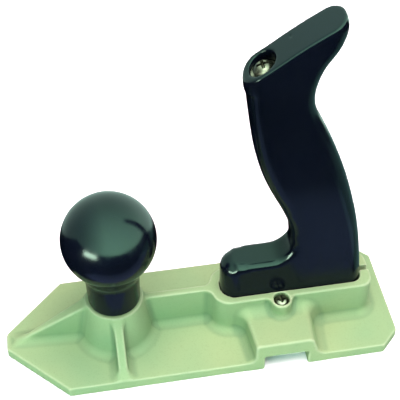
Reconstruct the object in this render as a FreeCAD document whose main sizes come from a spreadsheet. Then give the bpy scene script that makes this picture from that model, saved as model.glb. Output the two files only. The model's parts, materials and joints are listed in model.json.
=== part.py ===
import FreeCAD, Part
import math
import os
import re
import Sketcher

# Hand plane for trimming edge strips. Frame: X runs from the nose (-X) to the tail (+X), the knife
# channel opens at the -Y edge, +Z is up, and the origin is the middle of the sole. Millimetres.

DIMENSIONS = {
    # base plate
    "plate_length": 200.0,
    "plate_width": 68.6,
    "plate_height": 6.3,
    "nose_length": 29.7,
    "nose_width": 9.6,
    "tail_length": 9.2,
    "tail_width": 50.4,
    # knob boss and ribs
    "knob_x": -42.9,
    "boss_height": 32.2,
    "boss_top_radius": 14.4,
    "boss_foot_radius": 18.4,
    "fin_tip_x": -93.5,
    "fin_tip_width": 1.9,
    "fin_tip_height": 6.9,
    "fin_root_width": 7.0,
    "rib_width": 4.6,
    "rib_inset": 1.2,
    "rib_drop": 0.3,
    "side_rib_reach": 32.6,
    "spine_width": 3.7,
    "spine_height": 30.0,
    # socket of the rear handle
    "seat_front_x": 6.3,
    "seat_rear_x": 88.8,
    "seat_half_width": 11.8,
    "seat_height": 29.0,
    "seat_front_radius": 8.6,
    "seat_rear_radius": 6.4,
    "foot_fillet": 2.0,
    "socket_floor": 17.5,
    "foot_gap": 0.15,
    "key_slot_width": 2.6,
    "key_slot_depth": 9.0,
    "key_reach": 2.0,
    # hump over the knife channel
    "hump_height": 19.8,
    "hump_left_x": 23.5,
    "hump_right_x": 52.5,
    "hump_flank": 5.9,
    "hump_flare": 2.6,
    # knife channel and carrier pocket
    "channel_left_x": 28.4,
    "channel_right_x": 50.6,
    "channel_height": 10.0,
    "pocket_height": 14.5,
    "pocket_near_y": -24.5,
    "pocket_far_y": 7.7,
    # rear handle
    "foot_front_x": 10.9,
    "foot_rear_x": 83.3,
    "handle_thickness": 16.4,
    "toe_height": 50.6,
    "toe_nose_radius": 7.4,
    "heel_radius": 6.0,
    "toe_corner_radius": 10.9,
    "front_round": 4.6,
    "back_round": 6.0,
    "handle_bore_radius": 2.9,
    "counterbore_radius": 6.2,
    # long handle screw: its axis leans towards the nose
    "handle_screw_x": 27.44,
    "handle_screw_z": 167.2,
    "handle_screw_lean": 16.5,
    "handle_screw_length": 163.0,
    "handle_screw_radius": 2.5,
    "handle_head_radius": 4.75,
    "handle_head_height": 3.6,
    "handle_washer_height": 1.0,
    "handle_insert_radius": 4.0,
    "handle_insert_length": 9.5,
    "insert_sink": 1.2,
    "insert_lead": 1.5,
    # toe screw
    "toe_screw_x": 19.5,
    "toe_screw_radius": 2.0,
    "toe_screw_tip": 27.5,
    "toe_insert_radius": 3.5,
    "toe_insert_length": 11.5,
    "sink_depth": 0.6,
    # ball knob
    "ball_radius": 22.8,
    "ball_height": 75.2,
    "neck_top_radius": 13.6,
    "neck_foot_radius": 13.1,
    "neck_blend": 3.5,
    "knob_insert_radius": 6.5,
    "knob_insert_length": 18.0,
    "knob_screw_radius": 4.0,
    "knob_screw_tip": 47.0,
    "knob_head_radius": 6.5,
    "knob_head_height": 8.0,
    "knob_washer_height": 2.0,
    "knob_recess_radius": 7.6,
    "knob_recess_depth": 11.0,
    # depth screw in its boss beside the socket
    "depth_x": 40.1,
    "depth_y": -13.0,
    "depth_boss_radius": 5.5,
    "depth_boss_draft": -4.0,
    "depth_recess_radius": 4.25,
    "depth_head_radius": 4.0,
    "depth_head_height": 3.0,
    "depth_head_seat": 25.7,
    "depth_washer_height": 0.8,
    "depth_screw_radius": 2.0,
    "depth_screw_tip": 9.8,
    "depth_insert_radius": 3.0,
    "depth_insert_length": 4.6,
    # knife carrier
    "carrier_gap": 0.3,
    "carrier_bottom": 1.0,
    "carrier_top": 13.6,
    "recess_height": 8.2,
    "gullet_height": 9.5,
    "gullet_radius": 9.0,
    "carrier_lip": 3.2,
    "clamp_reach": 9.1,
    "clamp_step_x": 42.9,
    "clamp_head_radius": 2.75,
    "recess_rear_x": 48.3,
    "knife_angle": 40.0,
    "knife_edge_x": 33.0,
    "knife_edge_z": 0.1,
    "knife_length": 30.0,
    "knife_width": 12.0,
    "knife_thickness": 1.5,
    "knife_bevel": 35.0,
    "knife_pin_spacing": 14.0,
    "knife_pin_radius": 1.5,
    "knife_pin_press": 3.0,
    "clamp_screw_x": 44.9,
    "clamp_screw_spacing": 17.0,
    "clamp_screw_radius": 1.5,
    "clamp_screw_tip": 12.4,
    "guide_pin_x": 46.4,
    "guide_pin_spacing": 26.2,
    "guide_pin_radius": 1.5,
    "guide_pin_tip": 9.6,
    "guide_pin_press": 2.4,
    "spring_x": 32.4,
    "spring_spacing": 20.0,
    "spring_radius": 2.0,
    "spring_wire_radius": 0.25,
    "spring_seat": 11.0,
    # fits
    "thread_gap": 0.03,
    "running_gap": 0.04,
}

# room left around the grip's key in its slot
KEY_GAP = 0.3

# where the long screw's leaning axis meets the socket's floor
HANDLE_SEAT_X = "handle_screw_x + (handle_screw_z - socket_floor) * tan(handle_screw_lean * 1deg)"

NODES = (
    "base_casting", "front_knob", "knob_insert", "knob_screw", "knob_screw_washer",
    "rear_handle", "handle_screw", "handle_screw_washer", "handle_thread_insert", "toe_screw", "toe_insert",
    "knife_carrier", "knife", "knife_clamp", "clamp_screws", "knife_locating_pins", "carrier_guide_pins",
    "carrier_springs", "depth_thread_insert", "depth_screw", "depth_screw_washer",
)

doc = FreeCAD.newDocument("hand_plane")
sheet = doc.addObject("Spreadsheet::Sheet", "Dims")


def fill_sheet():
    """Write every driving dimension into the sheet as name, value and alias."""
    for row, (name, value) in enumerate(DIMENSIONS.items(), start=1):
        sheet.set("A%d" % row, name)
        sheet.set("B%d" % row, "%g" % value)
        sheet.setAlias("B%d" % row, name)
    doc.recompute()


def formula(text):
    """Turn a sum of dimension names into an expression that reads the sheet."""
    def look_up(word):
        name = word.group()
        return "Dims." + name if name in DIMENSIONS else name

    return re.sub(r"[a-z]\w+", look_up, text)


def size(text):
    """Present value of a sum of dimension names."""
    return float(sheet.evalExpression(formula(text)))


def bind(item, **properties):
    """Tie properties of a document object to sums of dimension names."""
    for name, text in properties.items():
        item.setExpression(name.replace("__", "."), formula(text))


def new_body(label):
    body = doc.addObject("PartDesign::Body", label)
    body.Label = label
    return body


def leaning_placement(x, y, z, lean):
    """Placement at a point, its Z axis leaning towards the nose by an angle in degrees."""
    turn = FreeCAD.Rotation(FreeCAD.Vector(0, -1, 0), size(lean))
    return FreeCAD.Placement(FreeCAD.Vector(size(x), size(y), size(z)), turn)


def place(item, x="0", y="0", z="0", lean="0"):
    """Put a sub-part at a point, its own Z axis leaning towards the nose by an angle in degrees."""
    item.Placement = leaning_placement(x, y, z, lean)
    bind(item, Placement__Base__x=x, Placement__Base__y=y, Placement__Base__z=z)


def new_sketch(body, name, role, x="0", y="0", z="0", lean="0"):
    """Sketch on one of the body's own origin planes, moved by an offset in that plane's frame."""
    plane = [item for item in body.Origin.OriginFeatures if item.Role == role][0]
    sketch = body.newObject("Sketcher::SketchObject", name)
    sketch.AttachmentSupport = (plane, [""])
    sketch.MapMode = "FlatFace"
    sketch.AttachmentOffset = leaning_placement(x, y, z, lean)
    bind(sketch, AttachmentOffset__Base__x=x, AttachmentOffset__Base__y=y, AttachmentOffset__Base__z=z)
    return sketch


def hold_point(sketch, geometry, position, x, y):
    """Hold one point of a sketch by its two distances from the sketch's origin."""
    for kind, text in (("DistanceX", x), ("DistanceY", y)):
        index = sketch.addConstraint(Sketcher.Constraint(kind, -1, 1, geometry, position, size(text)))
        sketch.setExpression("Constraints[%d]" % index, formula(text))


def bulge_point(start, end, radius, turn):
    """Middle of the short arc from start to end whose centre is left (+1) or right (-1) of the way."""
    chord = end - start
    middle = (start + end) * 0.5
    left = FreeCAD.Vector(-chord.y, chord.x, 0).normalize()
    centre = middle + left * (turn * math.sqrt(radius ** 2 - (chord.Length / 2) ** 2))
    return centre - left * (turn * radius)


def draw_outline(sketch, corners):
    """Closed outline. A corner is (x, y), or (x, y, radius, turn) where an arc leaves it."""
    points = [FreeCAD.Vector(size(corner[0]), size(corner[1]), 0) for corner in corners]
    ends = []
    for index, corner in enumerate(corners):
        start = points[index]
        end = points[(index + 1) % len(points)]
        if len(corner) == 2:
            geometry = sketch.addGeometry(Part.LineSegment(start, end), False)
            ends.append((geometry, 1, 2))
        else:
            middle = bulge_point(start, end, size(corner[2]), corner[3])
            geometry = sketch.addGeometry(Part.Arc(start, middle, end), False)
            ends.append((geometry, 1, 2) if corner[3] > 0 else (geometry, 2, 1))
            constraint = sketch.addConstraint(Sketcher.Constraint("Radius", geometry, size(corner[2])))
            sketch.setExpression("Constraints[%d]" % constraint, formula(corner[2]))
    for index, (geometry, first, last) in enumerate(ends):
        following = ends[(index + 1) % len(ends)]
        sketch.addConstraint(Sketcher.Constraint("Coincident", geometry, last, following[0], following[1]))
        hold_point(sketch, geometry, first, corners[index][0], corners[index][1])


def draw_circle(sketch, radius, x="0", y="0"):
    centre = FreeCAD.Vector(size(x), size(y), 0)
    geometry = sketch.addGeometry(Part.Circle(centre, FreeCAD.Vector(0, 0, 1), size(radius)), False)
    hold_point(sketch, geometry, 3, x, y)
    index = sketch.addConstraint(Sketcher.Constraint("Radius", geometry, size(radius)))
    sketch.setExpression("Constraints[%d]" % index, formula(radius))


def rectangle(x_low, x_high, y_low, y_high):
    return [(x_low, y_low), (x_high, y_low), (x_high, y_high), (x_low, y_high)]


def racetrack(x_front, x_rear, half_width, front_radius, rear_radius):
    """Rectangle about the X axis whose front and rear corners have their own radii."""
    return [
        (x_front, "%s - (%s)" % (half_width, front_radius)),
        (x_front, "-(%s) + %s" % (half_width, front_radius), front_radius, 1),
        ("%s + %s" % (x_front, front_radius), "-(%s)" % half_width),
        ("%s - (%s)" % (x_rear, rear_radius), "-(%s)" % half_width, rear_radius, 1),
        (x_rear, "-(%s) + %s" % (half_width, rear_radius)),
        (x_rear, "%s - (%s)" % (half_width, rear_radius), rear_radius, 1),
        ("%s - (%s)" % (x_rear, rear_radius), half_width),
        ("%s + %s" % (x_front, front_radius), half_width, front_radius, 1),
    ]


def pad(body, name, sketch, length, symmetric=False, draft="0"):
    feature = body.newObject("PartDesign::Pad", name)
    feature.Profile = sketch
    feature.Midplane = symmetric
    bind(feature, Length=length, TaperAngle=draft)
    return feature


def cut_down(body, name, sketch, depth, draft="0"):
    """Pocket that runs from its sketch against the sketch's normal, and must remove material."""
    doc.recompute()
    before = body.Shape.Volume
    feature = body.newObject("PartDesign::Pocket", name)
    feature.Profile = sketch
    bind(feature, Length=depth, TaperAngle=draft)
    doc.recompute()
    if body.Shape.Volume > before - 0.01:
        raise RuntimeError("%s removes nothing from %s" % (name, body.Label))
    return feature


def revolve(body, name, sketch):
    feature = body.newObject("PartDesign::Revolution", name)
    feature.Profile = sketch
    feature.ReferenceAxis = (sketch, ["V_Axis"])
    feature.Angle = 360
    return feature


def loft(body, name, sections):
    feature = body.newObject("PartDesign::AdditiveLoft", name)
    feature.Profile = sections[0]
    feature.Sections = sections[1:]
    feature.Ruled = True
    return feature


def edges_where(shape, wanted):
    """Names of the edges of a shape whose points all satisfy a test."""
    names = []
    for number, edge in enumerate(shape.Edges, start=1):
        if not edge.Degenerated and all(wanted(point) for point in edge.discretize(5)):
            names.append("Edge%d" % number)
    return names


def round_edges(body, name, radius, wanted):
    """Fillet on the edges of the body's last feature that satisfy a test."""
    doc.recompute()
    last = body.Tip
    feature = body.newObject("PartDesign::Fillet", name)
    feature.Base = (last, edges_where(last.Shape, wanted))
    bind(feature, Radius=radius)
    doc.recompute()
    return feature


def turned(label, corners, x="0", y="0", z="0", lean="0"):
    """Piece of revolution, from its half section given as (radius, height) corners."""
    body = new_body(label)
    half_section = new_sketch(body, label + "_section", "XZ_Plane")
    draw_outline(half_section, corners)
    revolve(body, label + "_turning", half_section)
    place(body, x, y, z, lean)
    return body


def cut_hexagon(body, across_flats, top, depth):
    """Hexagon socket cut down from a head's face."""
    sketch = new_sketch(body, body.Name + "_hexagon", "XY_Plane", z=top)
    reach = across_flats / math.sqrt(3)
    corners = []
    for step in range(6):
        angle = math.radians(60 * step)
        corners.append(("%.4f" % (reach * math.cos(angle)), "%.4f" % (reach * math.sin(angle))))
    draw_outline(sketch, corners)
    cut_down(body, body.Name + "_socket", sketch, depth)


def cut_cross(body, span, slot, top, depth):
    """Tapered cross recess cut down from a head's face."""
    sketch = new_sketch(body, body.Name + "_cross", "XY_Plane", z=top)
    arm = span / 2
    side = slot / 2
    quarter = [(arm, -side), (arm, side), (side, side)]
    corners = []
    for turn in range(4):
        cosine, sine = ((1, 0), (0, 1), (-1, 0), (0, -1))[turn]
        for x, y in quarter:
            corners.append(("%g" % (x * cosine - y * sine), "%g" % (x * sine + y * cosine)))
    draw_outline(sketch, corners)
    cut_down(body, body.Name + "_recess", sketch, depth, draft="-12")


def group(label, members):
    """One node made of several separate identical pieces."""
    compound = doc.addObject("Part::Compound", label)
    compound.Label = label
    compound.Links = members
    return compound


def spread(spacing):
    """The two places either side of the knife's middle, for a given spacing."""
    middle = "(pocket_near_y + pocket_far_y) / 2"
    return ["%s - %s / 2" % (middle, spacing), "%s + %s / 2" % (middle, spacing)]


def base_casting():
    """Plate, knob boss, ribs, socket and hump in one casting, then its openings."""
    body = new_body("base_casting")

    plan = new_sketch(body, "plate_outline", "XY_Plane")
    draw_outline(plan, [
        ("-plate_length / 2", "-nose_width / 2"),
        ("-plate_length / 2 + nose_length", "-plate_width / 2"),
        ("plate_length / 2 - tail_length", "-plate_width / 2"),
        ("plate_length / 2", "-tail_width / 2"),
        ("plate_length / 2", "tail_width / 2"),
        ("plate_length / 2 - tail_length", "plate_width / 2"),
        ("-plate_length / 2 + nose_length", "plate_width / 2"),
        ("-plate_length / 2", "nose_width / 2"),
    ])
    pad(body, "plate", plan, "plate_height")

    boss_section = new_sketch(body, "boss_section", "XZ_Plane", x="knob_x")
    draw_outline(boss_section, [
        ("0", "0"),
        ("boss_foot_radius", "0"),
        ("boss_foot_radius", "plate_height"),
        ("boss_top_radius", "boss_height"),
        ("0", "boss_height"),
    ])
    revolve(body, "knob_boss", boss_section)

    fin_sections = []
    for name, x, width, height in (
        ("fin_tip", "fin_tip_x", "fin_tip_width", "fin_tip_height"),
        ("fin_root", "knob_x - boss_top_radius + rib_inset", "fin_root_width", "boss_height - rib_drop"),
    ):
        section = new_sketch(body, name, "YZ_Plane", z=x)
        draw_outline(section, rectangle("-%s / 2" % width, "%s / 2" % width, "0", height))
        fin_sections.append(section)
    loft(body, "fin", fin_sections)

    rib_section = new_sketch(body, "side_rib_section", "YZ_Plane", z="knob_x")
    draw_outline(rib_section, [
        ("-side_rib_reach", "0"),
        ("side_rib_reach", "0"),
        ("side_rib_reach", "plate_height"),
        ("boss_top_radius - rib_inset", "boss_height - rib_drop"),
        ("-boss_top_radius + rib_inset", "boss_height - rib_drop"),
        ("-side_rib_reach", "plate_height"),
    ])
    pad(body, "side_ribs", rib_section, "rib_width", symmetric=True)

    spine_section = new_sketch(body, "spine_section", "XZ_Plane")
    draw_outline(spine_section, [
        ("knob_x", "0"),
        ("seat_front_x + seat_front_radius", "0"),
        ("seat_front_x + seat_front_radius", "seat_height"),
        ("knob_x", "spine_height"),
    ])
    pad(body, "spine", spine_section, "spine_width", symmetric=True)

    seat_plan = new_sketch(body, "seat_outline", "XY_Plane")
    draw_outline(seat_plan, racetrack(
        "seat_front_x", "seat_rear_x", "seat_half_width", "seat_front_radius", "seat_rear_radius"))
    pad(body, "seat", seat_plan, "seat_height")

    hump_sections = []
    for name, y, flare in (
        ("hump_edge", "-plate_width / 2", "0"),
        ("hump_root", "-seat_half_width / 2", "hump_flare"),
    ):
        section = new_sketch(body, name, "XZ_Plane", z="-(%s)" % y)
        draw_outline(section, [
            ("hump_left_x - %s" % flare, "0"),
            ("hump_right_x + hump_flank + %s" % flare, "0"),
            ("hump_right_x + %s" % flare, "hump_height"),
            ("hump_left_x - %s" % flare, "hump_height"),
        ])
        hump_sections.append(section)
    loft(body, "hump", hump_sections)

    screw_boss = new_sketch(body, "screw_boss_outline", "XY_Plane", z="seat_height")
    draw_circle(screw_boss, "depth_boss_radius", "depth_x", "depth_y")
    boss = pad(body, "screw_boss", screw_boss, "seat_height - plate_height", draft="depth_boss_draft")
    boss.Reversed = True

    def at_seat_foot(point):
        return point.x > 0 and abs(point.z - plate_height) < 0.001 and abs(point.y) < edge_y - 0.01

    plate_height = size("plate_height")
    edge_y = size("plate_width / 2")
    round_edges(body, "seat_foot_fillet", "foot_fillet", at_seat_foot)

    socket = new_sketch(body, "socket_outline", "XY_Plane", z="seat_height")
    half = "handle_thickness / 2 + foot_gap"
    nose, heel = "toe_nose_radius + foot_gap", "heel_radius + foot_gap"
    draw_outline(socket, racetrack("foot_front_x - foot_gap", "foot_rear_x + foot_gap", half, nose, heel))
    cut_down(body, "socket", socket, "seat_height - socket_floor")

    key_slot = new_sketch(body, "key_slot_outline", "XY_Plane", z="seat_height")
    draw_outline(key_slot, rectangle(
        "foot_rear_x - 1", "seat_rear_x + 1", "-key_slot_width / 2", "key_slot_width / 2"))
    cut_down(body, "key_slot", key_slot, "key_slot_depth")

    channel = new_sketch(body, "channel_outline", "XY_Plane", z="channel_height")
    draw_outline(channel, rectangle(
        "channel_left_x", "channel_right_x", "-plate_width / 2 - 1", "pocket_near_y"))
    cut_down(body, "channel", channel, "channel_height")

    pocket = new_sketch(body, "pocket_outline", "XY_Plane", z="pocket_height")
    draw_outline(pocket, rectangle("channel_left_x", "channel_right_x", "pocket_near_y", "pocket_far_y"))
    cut_down(body, "carrier_pocket", pocket, "pocket_height")

    for name, radius, x, y, top, depth in (
        ("knob_hole", "knob_screw_radius + 0.4", "knob_x", "0", "boss_height", "boss_height"),
        ("knob_recess", "knob_recess_radius", "knob_x", "0", "knob_recess_depth", "knob_recess_depth"),
        ("toe_hole", "toe_screw_radius + 0.25", "toe_screw_x", "0", "socket_floor", "socket_floor"),
        ("depth_hole", "depth_screw_radius + running_gap", "depth_x", "depth_y", "seat_height",
         "seat_height - pocket_height"),
        ("depth_recess", "depth_recess_radius", "depth_x", "depth_y", "seat_height",
         "seat_height - depth_head_seat + depth_washer_height"),
    ):
        sketch = new_sketch(body, name + "_outline", "XY_Plane", z=top)
        draw_circle(sketch, radius, x, y)
        cut_down(body, name, sketch, depth)

    toe_sink = new_sketch(body, "toe_countersink_outline", "XY_Plane", z="sink_depth + toe_screw_radius")
    draw_circle(toe_sink, "toe_screw_radius + thread_gap", "toe_screw_x", "0")
    cut_down(body, "toe_countersink", toe_sink, "sink_depth + toe_screw_radius", draft="45")

    for number, y in enumerate(spread("guide_pin_spacing")):
        sketch = new_sketch(body, "pin_hole_outline", "XY_Plane", z="pocket_height + guide_pin_press")
        draw_circle(sketch, "guide_pin_radius + thread_gap", "guide_pin_x", y)
        cut_down(body, "pin_hole_%d" % (number + 1), sketch, "guide_pin_press")

    insert_x = HANDLE_SEAT_X + " - insert_lead * tan(handle_screw_lean * 1deg)"
    bore_down(body, "insert_hole", "handle_insert_radius + thread_gap",
              insert_x, "0", "socket_floor + insert_lead",
              "handle_insert_length + insert_sink + insert_lead / cos(handle_screw_lean * 1deg)",
              lean="handle_screw_lean")
    return body


def smooth_curve(points):
    """Smooth curve through (x, z) points in the plane of symmetry."""
    curve = Part.BSplineCurve()
    curve.interpolate([FreeCAD.Vector(x, 0, z) for x, z in points])
    return curve.toShape()


def straight(*points):
    """Straight runs through (x, z) points in the plane of symmetry."""
    corners = [FreeCAD.Vector(x, 0, z) for x, z in points]
    return [Part.LineSegment(start, end).toShape() for start, end in zip(corners, corners[1:])]


def cylinder_on_screw_axis(radius, low, high):
    """Cylinder about the long screw's axis between two distances above the head's seat."""
    lean = math.radians(size("handle_screw_lean"))
    axis = FreeCAD.Vector(-math.sin(lean), 0, math.cos(lean))
    seat = FreeCAD.Vector(size("handle_screw_x"), 0, size("handle_screw_z"))
    return Part.makeCylinder(radius, high - low, seat + axis * low, axis)


def rear_handle():
    """Grip with a toe, a horn and a sloping top. It is sculpted, so it is made from curves."""
    half = size("handle_thickness") / 2
    floor = size("socket_floor")
    front = size("foot_front_x")
    rear = size("foot_rear_x")
    toe = size("toe_height")
    corner = size("toe_corner_radius")

    throat = (45.4, toe + corner)
    toe_end = (throat[0] - corner, toe)
    diagonal = corner * math.sqrt(0.5)
    throat_middle = (toe_end[0] + diagonal, throat[1] - diagonal)
    lip = (18.6, 164.2)
    front_curve = [
        throat, (43.5, 72.7), (36.0, 91.0), (29.0, 108.0), (24.9, 123.5), (21.4, 145.5), (19.1, 157.0), lip,
    ]
    horn_tip = (59.2, 193.2)
    top_curve = [lip, (21.4, 167.4), (28.6, 172.9), (40.0, 181.2), (50.0, 187.7), horn_tip]
    back_curve = [
        horn_tip, (60.7, 188.5), (60.2, 182.5), (57.3, 175.4), (53.4, 169.0), (50.0, 158.5),
        (50.2, 147.5), (54.5, 136.9), (61.5, 121.4), (67.8, 104.8), (72.7, 88.8), (77.2, 70.6),
        (80.4, 52.4), (82.3, 38.0), (83.1, 27.0), (rear, floor),
    ]

    throat_arc = Part.Arc(*[FreeCAD.Vector(x, 0, z) for x, z in (toe_end, throat_middle, throat)]).toShape()
    outline = straight((front, floor), (front, toe), toe_end)
    outline += [throat_arc, smooth_curve(front_curve)]
    outline += [smooth_curve(top_curve), smooth_curve(back_curve)]
    outline += straight((rear, floor), (front, floor))
    side_face = Part.Face(Part.Wire(outline))
    side_face.translate(FreeCAD.Vector(0, -half, 0))
    blank = side_face.extrude(FreeCAD.Vector(0, 2 * half, 0))

    nose = size("toe_nose_radius")
    nose_x = front + nose
    corners = [
        FreeCAD.Vector(rear + 1, -half, 0),
        FreeCAD.Vector(nose_x, -half, 0),
        FreeCAD.Vector(front, nose - half, 0),
        FreeCAD.Vector(front, half - nose, 0),
        FreeCAD.Vector(nose_x, half, 0),
        FreeCAD.Vector(rear + 1, half, 0),
    ]
    swing = nose * math.sqrt(0.5)
    near_bulge = FreeCAD.Vector(nose_x - swing, nose - half - swing, 0)
    far_bulge = FreeCAD.Vector(nose_x - swing, half - nose + swing, 0)
    plan = Part.Wire([
        Part.LineSegment(corners[0], corners[1]).toShape(),
        Part.Arc(corners[1], near_bulge, corners[2]).toShape(),
        Part.LineSegment(corners[2], corners[3]).toShape(),
        Part.Arc(corners[3], far_bulge, corners[4]).toShape(),
        Part.LineSegment(corners[4], corners[5]).toShape(),
        Part.LineSegment(corners[5], corners[0]).toShape(),
    ])
    blank = blank.common(Part.Face(plan).extrude(FreeCAD.Vector(0, 0, 250)))

    def on_side(edge):
        return all(abs(abs(point.y) - half) < 0.001 for point in edge.discretize(7))

    def on_toe_top(edge):
        level = all(abs(point.z - toe) < 0.001 for point in edge.discretize(7))
        return level and edge.BoundBox.XLength > 0.001

    def on_front(edge):
        box = edge.BoundBox
        return on_side(edge) and box.ZMin > toe - 1 and box.ZMax < lip[1] + 1 and edge.Length > 12

    def on_back(edge):
        return on_side(edge) and edge.Length > 150 and edge.BoundBox.XMin > 48

    rounded = [edge for edge in blank.Edges if on_toe_top(edge) or on_front(edge)]
    grip = blank.makeFillet(size("front_round"), rounded)
    grip = grip.makeFillet(size("back_round"), [edge for edge in grip.Edges if on_back(edge)])

    screw_x = FreeCAD.Vector(size("toe_screw_x"), 0, floor)
    hole_radius = size("toe_insert_radius + thread_gap")
    openings = [
        cylinder_on_screw_axis(size("handle_bore_radius"), -200, 5),
        cylinder_on_screw_axis(size("counterbore_radius"), -size("handle_washer_height"), 30),
        Part.makeCylinder(hole_radius, size("toe_insert_length"), screw_x),
    ]
    for opening in openings:
        grip = grip.cut(opening)

    key_half = size("key_slot_width") / 2 - KEY_GAP
    key_floor = size("seat_height - key_slot_depth") + KEY_GAP
    corner_point = FreeCAD.Vector(rear - 3, -key_half, key_floor)
    key = Part.makeBox(3 + size("key_reach"), 2 * key_half, size("seat_height") - 3 - key_floor, corner_point)
    node = doc.addObject("Part::Feature", "rear_handle")
    node.Label = "rear_handle"
    node.Shape = grip.fuse(key)
    node.Placement = FreeCAD.Placement()
    return node


def front_knob():
    """Ball on a neck, bored from below for its threaded insert."""
    ball_centre = "ball_height - boss_height"
    join = "%s - sqrt(ball_radius * ball_radius - neck_top_radius * neck_top_radius)" % ball_centre
    knob = turned("front_knob", [
        ("0", "0"),
        ("neck_foot_radius - 0.6", "0"),
        ("neck_foot_radius", "0.6"),
        ("neck_top_radius", join, "ball_radius", 1),
        ("0", "%s + ball_radius" % ball_centre),
    ], x="knob_x", z="boss_height")
    neck_radius = size("neck_top_radius")
    join_height = size(join)

    def at_join(point):
        return abs(point.z - join_height) < 0.01 and abs(math.hypot(point.x, point.y) - neck_radius) < 0.01

    round_edges(knob, "neck_blend_round", "neck_blend", at_join)
    bore_down(knob, "knob_insert_hole", "knob_insert_radius + thread_gap", "0", "0",
              "knob_insert_length + 1", "knob_insert_length + 1")
    return knob


def tube(label, inner, outer, low, high, x="0", y="0", z="0", lean="0"):
    """Ring or sleeve between two heights."""
    return turned(label, [(inner, low), (outer, low), (outer, high), (inner, high)], x, y, z, lean)


def pin(label, radius, low, high, x, y, z="0", lean="0"):
    """Plain pin with chamfered ends between two heights."""
    return turned(label, [
        ("0", low),
        ("%s - 0.3" % radius, low),
        (radius, "%s + 0.3" % low),
        (radius, "%s - 0.3" % high),
        ("%s - 0.3" % radius, high),
        ("0", high),
    ], x, y, z, lean)


def pan_screw(label, head_radius, head_height, shank_radius, length, x, y, z, lean="0"):
    """Cross-recess screw with a domed head. Its seat is at height 0 and its shank hangs below."""
    screw = turned(label, [
        ("0", "-(%s)" % length),
        ("%s - 0.5" % shank_radius, "-(%s)" % length),
        (shank_radius, "-(%s) + 0.5" % length),
        (shank_radius, "0"),
        (head_radius, "0"),
        (head_radius, "%s * 0.3" % head_height, "%s * 1.45" % head_radius, 1),
        ("%s * 0.45" % head_radius, head_height),
        ("0", head_height),
    ], x, y, z, lean)
    radius = size(head_radius)
    cut_cross(screw, 1.15 * radius, 0.3 * radius, head_height, "%s * 0.6" % head_height)
    return screw


def countersunk_screw(label, shank_radius, head_radius, length, socket, x, y, z):
    """Hexagon-socket screw with its flat head down and its shank up."""
    cone = "(%s - %s)" % (head_radius, shank_radius)
    screw = turned(label, [
        ("0", "-(%s)" % length),
        ("%s - 0.4" % shank_radius, "-(%s)" % length),
        (shank_radius, "-(%s) + 0.4" % length),
        (shank_radius, "-%s" % cone),
        (head_radius, "0"),
        ("0", "0"),
    ], x, y, z, lean="180")
    cut_hexagon(screw, socket, "0", cone)
    return screw


def knob_fixing():
    """Threaded insert of the knob, its cap screw from under the base, and the spring washer."""
    tube("knob_insert", "knob_screw_radius + thread_gap", "knob_insert_radius",
         "boss_height", "boss_height + knob_insert_length", x="knob_x")
    seat = "knob_recess_depth - knob_washer_height"
    tip = "-(knob_screw_tip - (%s))" % seat
    screw = turned("knob_screw", [
        ("0", tip),
        ("knob_screw_radius - 0.8", tip),
        ("knob_screw_radius", "%s + 0.8" % tip),
        ("knob_screw_radius", "0"),
        ("knob_head_radius", "0"),
        ("knob_head_radius", "knob_head_height - 0.5"),
        ("knob_head_radius - 0.5", "knob_head_height"),
        ("0", "knob_head_height"),
    ], x="knob_x", z=seat, lean="180")
    cut_hexagon(screw, 6.0, "knob_head_height", "knob_head_height / 2")
    tube("knob_screw_washer", "knob_screw_radius + 0.2", "knob_head_radius + 0.4",
         seat, "knob_recess_depth", x="knob_x")


def handle_fixings():
    """Long screw through the grip with its washer and insert, and the toe's screw and insert."""
    at_seat = {"x": "handle_screw_x", "z": "handle_screw_z", "lean": "handle_screw_lean"}
    pan_screw("handle_screw", "handle_head_radius", "handle_head_height", "handle_screw_radius",
              "handle_screw_length", y="0", **at_seat)
    tube("handle_screw_washer", "handle_screw_radius + 0.2", "counterbore_radius - 0.3",
         "-handle_washer_height", "0", **at_seat)
    tube("handle_thread_insert", "handle_screw_radius + thread_gap", "handle_insert_radius",
         "-handle_insert_length - insert_sink", "-insert_sink",
         x=HANDLE_SEAT_X, z="socket_floor", lean="handle_screw_lean")
    countersunk_screw("toe_screw", "toe_screw_radius", "2 * toe_screw_radius", "toe_screw_tip - sink_depth",
                      2.5, "toe_screw_x", "0", "sink_depth")
    tube("toe_insert", "toe_screw_radius + thread_gap", "toe_insert_radius",
         "socket_floor", "socket_floor + toe_insert_length", x="toe_screw_x")


def on_knife(distance, depth="0"):
    """Point at a distance up the knife's face from its cutting edge, and a depth behind that face."""
    cosine = "cos(knife_angle * 1deg)"
    sine = "sin(knife_angle * 1deg)"
    x = "knife_edge_x + (%s) * %s + (%s) * %s" % (distance, cosine, depth, sine)
    z = "knife_edge_z + (%s) * %s - (%s) * %s" % (distance, sine, depth, cosine)
    return x, z


def bar_along_y(label, corners, length):
    """Bar of constant section, centred on the knife's middle."""
    body = new_body(label)
    section = new_sketch(body, label + "_section", "XZ_Plane", z="-(pocket_near_y + pocket_far_y) / 2")
    draw_outline(section, corners)
    pad(body, label + "_bar", section, length, symmetric=True)
    return body


def bore_down(body, name, radius, x, y, top, depth, draft="0", lean="0"):
    """Round hole that starts at a height and runs down."""
    sketch = new_sketch(body, name + "_outline", "XY_Plane", x=x, y=y, z=top, lean=lean)
    draw_circle(sketch, radius)
    cut_down(body, name, sketch, depth, draft)


def bore_pair(body, name, spacing, radius, x, top, depth, draft="0", lean="0"):
    """Two equal holes either side of the knife's middle."""
    for number, y in enumerate(spread(spacing), start=1):
        bore_down(body, "%s_%d" % (name, number), radius, x, y, top, depth, draft, lean)


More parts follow.
